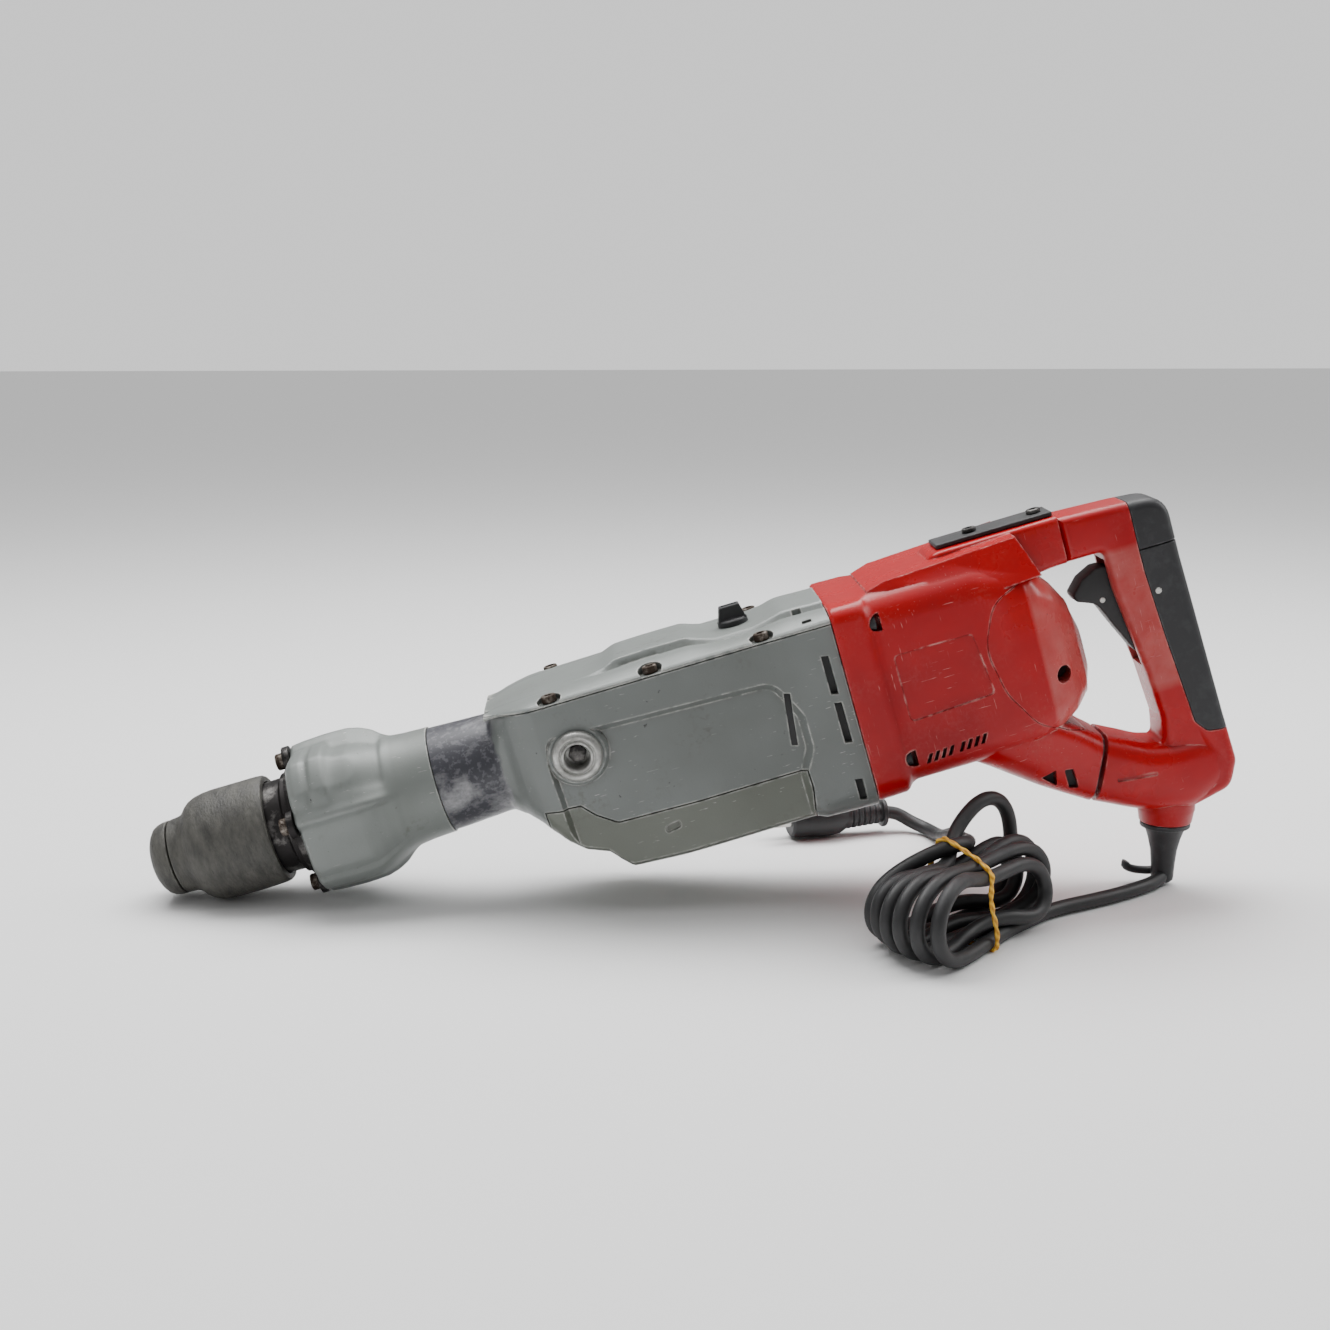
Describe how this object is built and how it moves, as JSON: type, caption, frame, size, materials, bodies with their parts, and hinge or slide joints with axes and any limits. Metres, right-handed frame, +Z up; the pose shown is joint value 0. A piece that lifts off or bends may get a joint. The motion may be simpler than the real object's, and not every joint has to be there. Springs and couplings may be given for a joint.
{
  "type": "demolition hammer",
  "caption": "Corded demolition hammer with a chuck for chisels, grey gearcase, red motor housing and D handle, its cord bundled beside it.",
  "frame": {"origin": "centre of the footprint of the hammer without its loose cord, on the floor it rests on", "axes": "+X along the hammer towards the handle, +Y across it to the side away from the bundle, +Z up"},
  "size_m": [0.6466, 0.2776, 0.2377],
  "materials": {
    "grey_paint": "worn satin",
    "olive_paint": "worn satin",
    "red_plastic": "semi-gloss, scuffed",
    "black_plastic": "matt",
    "black_rubber": "matt",
    "sleeve_rubber": "worn, dusty",
    "dark_steel": "oily",
    "bright_steel": "machined",
    "rusty_steel": "rusty",
    "copper": "wound copper",
    "carbon": "pressed carbon",
    "yellow_tie": "waxed paper tie"
  },
  "bodies": {
    "hammer": {"barrel_housing": "grey_paint", "gearcase": "grey_paint", "top_cover": "grey_paint", "lower_cover": "olive_paint", "motor_housing": "red_plastic", "rear_cover": "red_plastic", "top_plate": "black_plastic", "housing_screw_upper_left": "black_plastic", "housing_screw_upper_right": "black_plastic", "housing_screw_lower_left": "black_plastic", "housing_screw_lower_right": "black_plastic", "handle_buffer": "black_rubber", "dust_cap": "sleeve_rubber", "front_collar": "dark_steel", "field_stator": "dark_steel", "plate_screw_1": "dark_steel", "plate_screw_2": "dark_steel", "tool_holder": "bright_steel", "locking_roller_top": "bright_steel", "locking_roller_bottom": "bright_steel", "sleeve_spring": "bright_steel", "guide_cylinder": "bright_steel", "side_bush_left": "bright_steel", "side_bush_right": "bright_steel", "front_bearing": "bright_steel", "rear_bearing": "bright_steel", "handle_pivot_pin": "bright_steel", "cover_screw_left_1": "rusty_steel", "cover_screw_right_1": "rusty_steel", "cover_screw_left_2": "rusty_steel", "cover_screw_right_2": "rusty_steel", "cover_screw_left_3": "rusty_steel", "cover_screw_right_3": "rusty_steel", "flange_screw_1": "rusty_steel", "flange_screw_2": "rusty_steel", "flange_screw_3": "rusty_steel", "flange_screw_4": "rusty_steel", "carbon_brush_left": "carbon", "carbon_brush_right": "carbon"},
    "locking_sleeve": {"locking_sleeve": "sleeve_rubber"},
    "beat_piece": {"beat_piece": "bright_steel"},
    "ram": {"ram": "bright_steel"},
    "piston": {"piston": "bright_steel", "wrist_pin": "bright_steel"},
    "connecting_rod": {"connecting_rod": "dark_steel"},
    "crankshaft": {"crankshaft": "dark_steel"},
    "armature": {"armature": "copper"},
    "speed_selector": {"speed_selector": "black_plastic"},
    "handle": {"handle": "red_plastic", "handle_cap": "black_rubber", "grip_overmould": "black_rubber", "switch": "black_plastic", "cord_socket": "red_plastic", "cord_boot": "black_rubber", "cord": "black_rubber", "cord_tail": "black_rubber", "cord_hank": "black_rubber", "hank_tie": "yellow_tie", "plug": "black_rubber"},
    "trigger": {"trigger": "black_plastic"}
  },
  "joints": [
    {"name": "sleeve_slide", "type": "slide", "parent": "hammer", "child": "locking_sleeve", "axis": [0.9603, 0, 0.279], "range_m": [0, 0.009], "stiffness_N_per_m": 900, "springref_m": -0.012, "deforming": ["sleeve_spring"]},
    {"name": "beat_piece_slide", "type": "slide", "parent": "hammer", "child": "beat_piece", "axis": [0.9603, 0, 0.279], "range_m": [-0.0075, 0.002]},
    {"name": "ram_slide", "type": "slide", "parent": "hammer", "child": "ram", "axis": [0.9603, 0, 0.279], "range_m": [-0.026, 0.003]},
    {"name": "piston_slide", "type": "slide", "parent": "hammer", "child": "piston", "axis": [0.9603, 0, 0.279], "range_m": [0, 0.03]},
    {"name": "rod_swing", "type": "hinge", "parent": "piston", "child": "connecting_rod", "pos_m": [-0.07601, 0, 0.09241], "axis": [-0.279, 0, 0.9603], "range_deg": [-11, 11]},
    {"name": "crank_spin", "type": "hinge", "parent": "hammer", "child": "crankshaft", "pos_m": [0.0133, 0, 0.11835], "axis": [-0.279, 0, 0.9603], "continuous": true},
    {"name": "armature_spin", "type": "hinge", "parent": "hammer", "child": "armature", "pos_m": [0.0485, 0, 0.11192], "axis": [0.9603, 0, 0.279], "continuous": true},
    {"name": "speed_selector_turn", "type": "hinge", "parent": "hammer", "child": "speed_selector", "pos_m": [0.02299, 0, 0.16386], "axis": [-0.279, 0, 0.9603], "range_deg": [-60, 60]},
    {"name": "handle_pivot", "type": "hinge", "parent": "hammer", "child": "handle", "pos_m": [0.2052, 0, 0.21055], "axis": [0, 1, 0], "range_deg": [-0.7, 0.7], "stiffness_Nm_per_rad": 1200},
    {"name": "trigger_pull", "type": "hinge", "parent": "handle", "child": "trigger", "pos_m": [0.23945, 0, 0.1776], "axis": [0, -1, 0], "range_deg": [0, 6], "stiffness_Nm_per_rad": 6, "springref_deg": -8.59}
  ],
  "couplings": [
    {"joint": "crank_spin", "follows": "armature_spin", "ratio": 0.23077}
  ]
}
